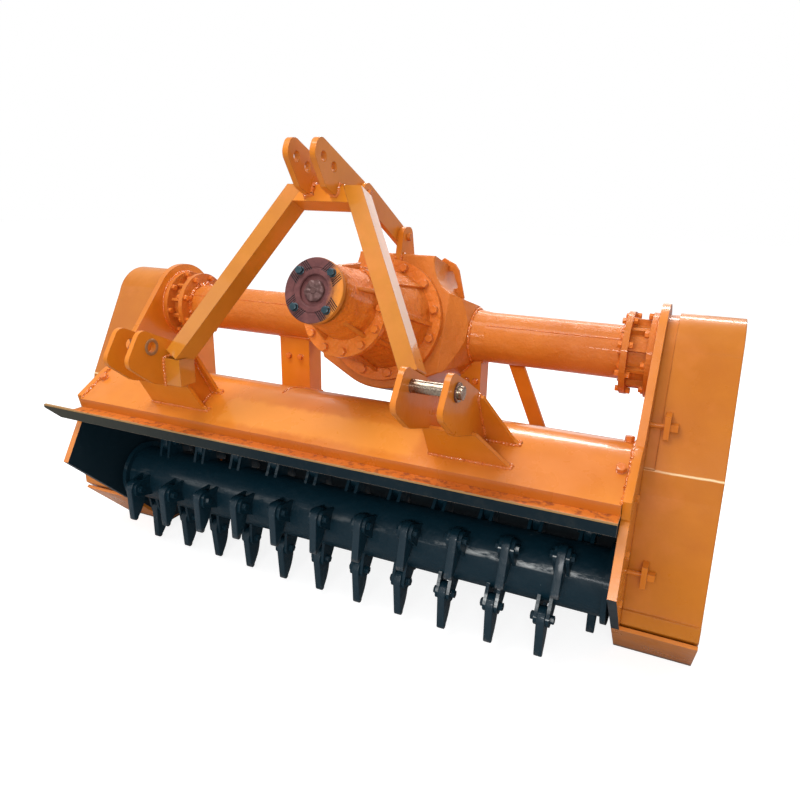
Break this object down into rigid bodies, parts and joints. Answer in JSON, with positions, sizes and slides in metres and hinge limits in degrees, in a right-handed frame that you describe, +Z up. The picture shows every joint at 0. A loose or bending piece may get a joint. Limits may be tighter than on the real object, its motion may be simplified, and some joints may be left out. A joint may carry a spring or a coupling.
{
  "type": "branch shredder",
  "caption": "Tractor-mounted flail shredder for branches: rotor with swinging flails under a hood, axle gearbox on top, three-point mast, skids and side drive covers",
  "frame": {"origin": "on the floor under the middle of the width and of the depth, z = 0 at the skids' foot", "axes": "X along the rotor (right as seen from the tractor side), Y from the tractor to the rear, Z up"},
  "size_m": [2, 0.8176, 1.2969],
  "materials": {
    "orange_paint": "glossy orange paint over plate and castings",
    "dark_steel": "dark blue-black satin paint",
    "cast_block": "plain casting, closed in",
    "flange_steel": "machined face with a thin brown film",
    "bright_steel": "worn bare steel"
  },
  "bodies": {
    "frame": {"axle_end_flange_left": "orange_paint", "axle_end_flange_right": "orange_paint", "axle_housing": "orange_paint", "axle_post_left": "orange_paint", "axle_post_right": "orange_paint", "banjo_rear_cover": "orange_paint", "bearing_hub_left": "orange_paint", "bearing_hub_right": "orange_paint", "cover_clamps_left": "orange_paint", "cover_clamps_right": "orange_paint", "differential": "cast_block", "differential_carrier": "orange_paint", "drive_cover_left": "orange_paint", "drive_cover_right": "orange_paint", "hood_lip": "dark_steel", "hood_shell": "orange_paint", "hub_mount_flange_left": "orange_paint", "hub_mount_flange_right": "orange_paint", "link_gussets_left": "orange_paint", "link_gussets_right": "orange_paint", "link_pin_right": "bright_steel", "link_plates_left": "orange_paint", "link_plates_right": "orange_paint", "mast_cross_member": "orange_paint", "mast_leg_left": "orange_paint", "mast_leg_right": "orange_paint", "mast_stay": "orange_paint", "pinion_cage": "orange_paint", "rear_brace": "orange_paint", "rotor_bearing_left": "dark_steel", "rotor_bearing_right": "dark_steel", "side_plate_left": "orange_paint", "side_plate_right": "orange_paint", "skid_shoe_left": "orange_paint", "skid_shoe_right": "orange_paint", "stay_bolts": "bright_steel", "stay_pedestal": "orange_paint", "top_link_ears": "orange_paint"},
    "rotor": {"rotor_drum": "dark_steel", "flails": "dark_steel", "rotor_disc_left": "dark_steel", "rotor_disc_right": "dark_steel"},
    "input": {"input_flange": "flange_steel"}
  },
  "joints": [
    {"name": "rotor_spin", "type": "hinge", "parent": "frame", "child": "rotor", "pos_m": [0, -0.0109, 0.242], "axis": [1, 0, 0], "continuous": true},
    {"name": "input_spin", "type": "hinge", "parent": "frame", "child": "input", "pos_m": [0.06, -0.2458, 0.9565], "axis": [0, -0.9455, 0.3256], "continuous": true}
  ],
  "couplings": [
    {"joint": "input_spin", "follows": "rotor_spin", "ratio": 0.5}
  ]
}
